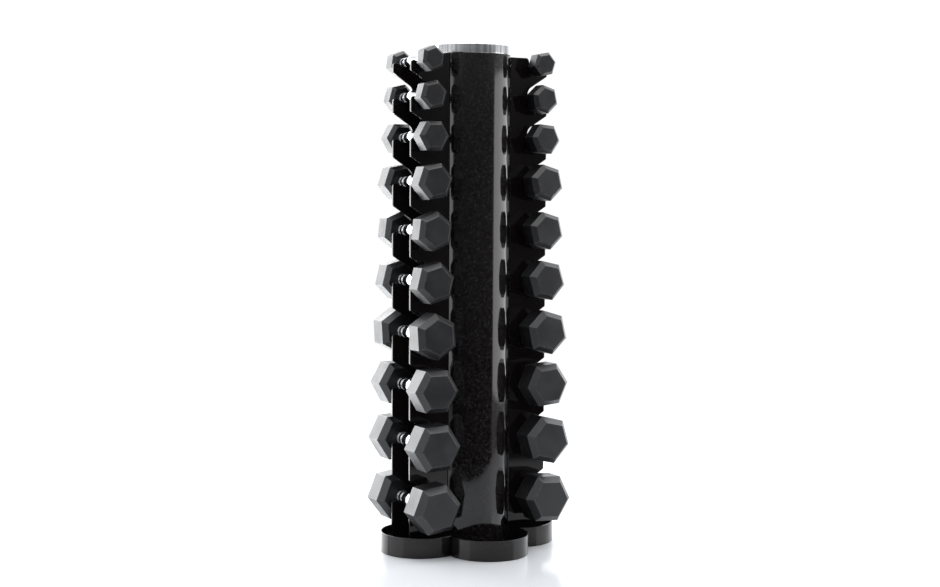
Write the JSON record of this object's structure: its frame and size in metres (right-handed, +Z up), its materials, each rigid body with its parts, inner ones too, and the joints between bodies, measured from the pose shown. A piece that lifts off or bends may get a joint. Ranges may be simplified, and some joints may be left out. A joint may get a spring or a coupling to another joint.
{
  "type": "dumbbell rack",
  "caption": "Upright tower rack: a round column in a lobed tray, with hooked cradle plates on both sides holding hexagonal dumbbells, lightest at the top.",
  "frame": {"origin": "on the column's axis at the floor, the middle of the base's underside", "axes": "+Z up along the column; the two cradle banks reach out along +X and -X; dumbbell grips lie along Y; the front lobe of the tray points to -Y"},
  "size_m": [0.4488, 0.3916, 1.2],
  "materials": {
    "black_steel": "gloss black powder coat",
    "chrome_band": "mirror polished",
    "cap_plastic": "gloss black",
    "head_rubber": "matte fine-grained rubber over cast iron",
    "grip_chrome": "polished chrome"
  },
  "bodies": {
    "rack": {"column_tube": "black_steel", "top_band": "chrome_band", "top_cap": "cap_plastic", "tray_floor": "black_steel", "tray_wall_left": "black_steel", "tray_wall_right": "black_steel", "tray_wall_front": "black_steel", "tray_wall_back": "black_steel", "cradle_plate_left_front": "black_steel", "cradle_plate_left_back": "black_steel", "cradle_plate_right_front": "black_steel", "cradle_plate_right_back": "black_steel"},
    "dumbbell_left_01": {"dumbbell_left_01_heads": "head_rubber", "dumbbell_left_01_grip": "grip_chrome"},
    "dumbbell_left_02": {"dumbbell_left_02_heads": "head_rubber", "dumbbell_left_02_grip": "grip_chrome"},
    "dumbbell_left_03": {"dumbbell_left_03_heads": "head_rubber", "dumbbell_left_03_grip": "grip_chrome"},
    "dumbbell_left_04": {"dumbbell_left_04_heads": "head_rubber", "dumbbell_left_04_grip": "grip_chrome"},
    "dumbbell_left_05": {"dumbbell_left_05_heads": "head_rubber", "dumbbell_left_05_grip": "grip_chrome"},
    "dumbbell_left_06": {"dumbbell_left_06_heads": "head_rubber", "dumbbell_left_06_grip": "grip_chrome"},
    "dumbbell_left_07": {"dumbbell_left_07_heads": "head_rubber", "dumbbell_left_07_grip": "grip_chrome"},
    "dumbbell_left_08": {"dumbbell_left_08_heads": "head_rubber", "dumbbell_left_08_grip": "grip_chrome"},
    "dumbbell_left_09": {"dumbbell_left_09_heads": "head_rubber", "dumbbell_left_09_grip": "grip_chrome"},
    "dumbbell_left_10": {"dumbbell_left_10_heads": "head_rubber", "dumbbell_left_10_grip": "grip_chrome"},
    "dumbbell_right_01": {"dumbbell_right_01_heads": "head_rubber", "dumbbell_right_01_grip": "grip_chrome"},
    "dumbbell_right_02": {"dumbbell_right_02_heads": "head_rubber", "dumbbell_right_02_grip": "grip_chrome"},
    "dumbbell_right_03": {"dumbbell_right_03_heads": "head_rubber", "dumbbell_right_03_grip": "grip_chrome"},
    "dumbbell_right_04": {"dumbbell_right_04_heads": "head_rubber", "dumbbell_right_04_grip": "grip_chrome"},
    "dumbbell_right_05": {"dumbbell_right_05_heads": "head_rubber", "dumbbell_right_05_grip": "grip_chrome"},
    "dumbbell_right_06": {"dumbbell_right_06_heads": "head_rubber", "dumbbell_right_06_grip": "grip_chrome"},
    "dumbbell_right_07": {"dumbbell_right_07_heads": "head_rubber", "dumbbell_right_07_grip": "grip_chrome"},
    "dumbbell_right_08": {"dumbbell_right_08_heads": "head_rubber", "dumbbell_right_08_grip": "grip_chrome"},
    "dumbbell_right_09": {"dumbbell_right_09_heads": "head_rubber", "dumbbell_right_09_grip": "grip_chrome"},
    "dumbbell_right_10": {"dumbbell_right_10_heads": "head_rubber", "dumbbell_right_10_grip": "grip_chrome"}
  },
  "joints": [
    {"name": "dumbbell_left_01_lift_out", "type": "slide", "parent": "rack", "child": "dumbbell_left_01", "axis": [-0.9205, 0, 0.3907], "range_m": [0, 0.18]},
    {"name": "dumbbell_left_02_lift_out", "type": "slide", "parent": "rack", "child": "dumbbell_left_02", "axis": [-0.9205, 0, 0.3907], "range_m": [0, 0.18]},
    {"name": "dumbbell_left_03_lift_out", "type": "slide", "parent": "rack", "child": "dumbbell_left_03", "axis": [-0.9205, 0, 0.3907], "range_m": [0, 0.18]},
    {"name": "dumbbell_left_04_lift_out", "type": "slide", "parent": "rack", "child": "dumbbell_left_04", "axis": [-0.9205, 0, 0.3907], "range_m": [0, 0.18]},
    {"name": "dumbbell_left_05_lift_out", "type": "slide", "parent": "rack", "child": "dumbbell_left_05", "axis": [-0.9205, 0, 0.3907], "range_m": [0, 0.18]},
    {"name": "dumbbell_left_06_lift_out", "type": "slide", "parent": "rack", "child": "dumbbell_left_06", "axis": [-0.9205, 0, 0.3907], "range_m": [0, 0.18]},
    {"name": "dumbbell_left_07_lift_out", "type": "slide", "parent": "rack", "child": "dumbbell_left_07", "axis": [-0.9205, 0, 0.3907], "range_m": [0, 0.18]},
    {"name": "dumbbell_left_08_lift_out", "type": "slide", "parent": "rack", "child": "dumbbell_left_08", "axis": [-0.9205, 0, 0.3907], "range_m": [0, 0.18]},
    {"name": "dumbbell_left_09_lift_out", "type": "slide", "parent": "rack", "child": "dumbbell_left_09", "axis": [-0.9205, 0, 0.3907], "range_m": [0, 0.18]},
    {"name": "dumbbell_left_10_lift_out", "type": "slide", "parent": "rack", "child": "dumbbell_left_10", "axis": [-0.9205, 0, 0.3907], "range_m": [0, 0.18]},
    {"name": "dumbbell_right_01_lift_out", "type": "slide", "parent": "rack", "child": "dumbbell_right_01", "axis": [0.9205, 0, 0.3907], "range_m": [0, 0.18]},
    {"name": "dumbbell_right_02_lift_out", "type": "slide", "parent": "rack", "child": "dumbbell_right_02", "axis": [0.9205, 0, 0.3907], "range_m": [0, 0.18]},
    {"name": "dumbbell_right_03_lift_out", "type": "slide", "parent": "rack", "child": "dumbbell_right_03", "axis": [0.9205, 0, 0.3907], "range_m": [0, 0.18]},
    {"name": "dumbbell_right_04_lift_out", "type": "slide", "parent": "rack", "child": "dumbbell_right_04", "axis": [0.9205, 0, 0.3907], "range_m": [0, 0.18]},
    {"name": "dumbbell_right_05_lift_out", "type": "slide", "parent": "rack", "child": "dumbbell_right_05", "axis": [0.9205, 0, 0.3907], "range_m": [0, 0.18]},
    {"name": "dumbbell_right_06_lift_out", "type": "slide", "parent": "rack", "child": "dumbbell_right_06", "axis": [0.9205, 0, 0.3907], "range_m": [0, 0.18]},
    {"name": "dumbbell_right_07_lift_out", "type": "slide", "parent": "rack", "child": "dumbbell_right_07", "axis": [0.9205, 0, 0.3907], "range_m": [0, 0.18]},
    {"name": "dumbbell_right_08_lift_out", "type": "slide", "parent": "rack", "child": "dumbbell_right_08", "axis": [0.9205, 0, 0.3907], "range_m": [0, 0.18]},
    {"name": "dumbbell_right_09_lift_out", "type": "slide", "parent": "rack", "child": "dumbbell_right_09", "axis": [0.9205, 0, 0.3907], "range_m": [0, 0.18]},
    {"name": "dumbbell_right_10_lift_out", "type": "slide", "parent": "rack", "child": "dumbbell_right_10", "axis": [0.9205, 0, 0.3907], "range_m": [0, 0.18]}
  ]
}
